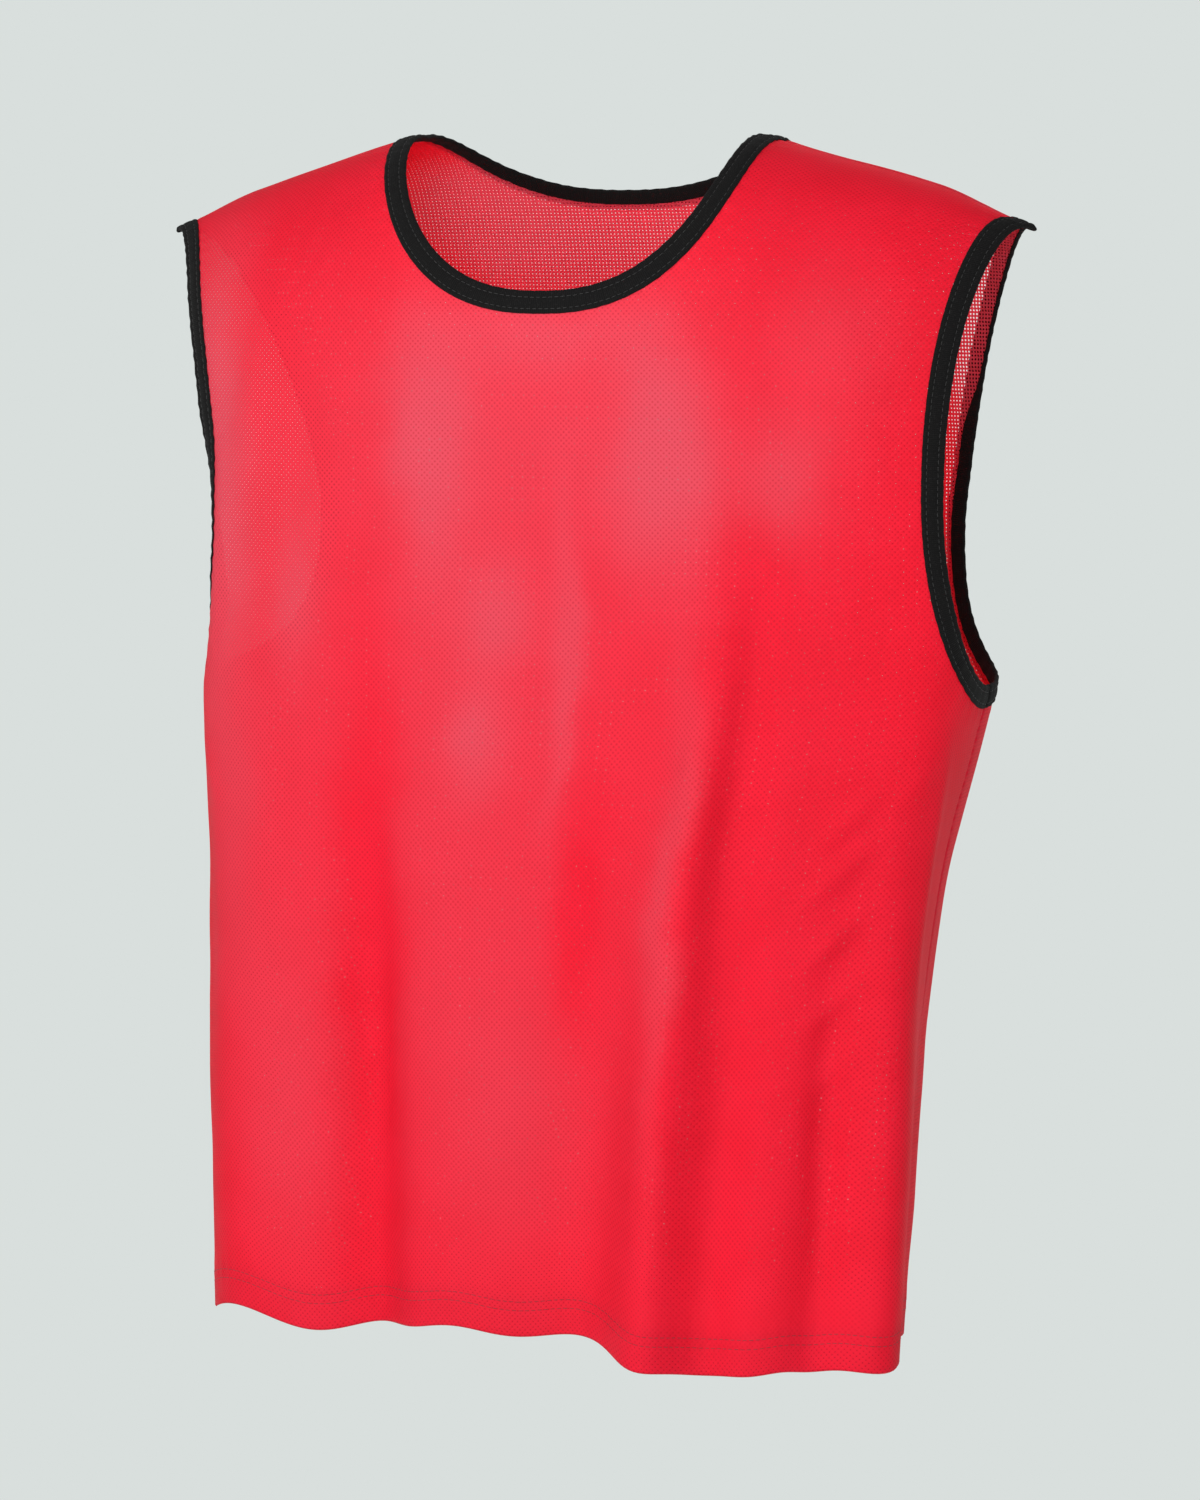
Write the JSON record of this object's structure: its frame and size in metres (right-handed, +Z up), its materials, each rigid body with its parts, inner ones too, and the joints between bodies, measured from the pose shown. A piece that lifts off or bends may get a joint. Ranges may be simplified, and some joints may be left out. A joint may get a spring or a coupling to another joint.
{
  "type": "sleeveless training bib, filled out as if worn, with no wearer",
  "caption": "Sleeveless round-neck training bib in mesh cloth with bound neck and armholes, open at the hem, hanging as worn.",
  "frame": {"origin": "midway between the two shoulder seams, halfway down their slope, where the wearer's shoulders hold the bib", "axes": "+Z up, the front of the bib faces -Y, +X is the wearer's left"},
  "size_m": [0.5014, 0.2217, 0.6622],
  "materials": {
    "mesh_cloth": "soft sheen, semi see-through",
    "binding": "matt"
  },
  "bodies": {
    "root": {"front_panel": "mesh_cloth", "back_panel": "mesh_cloth", "neck_binding": "binding", "armhole_binding_left": "binding", "armhole_binding_right": "binding"}
  },
  "joints": []
}
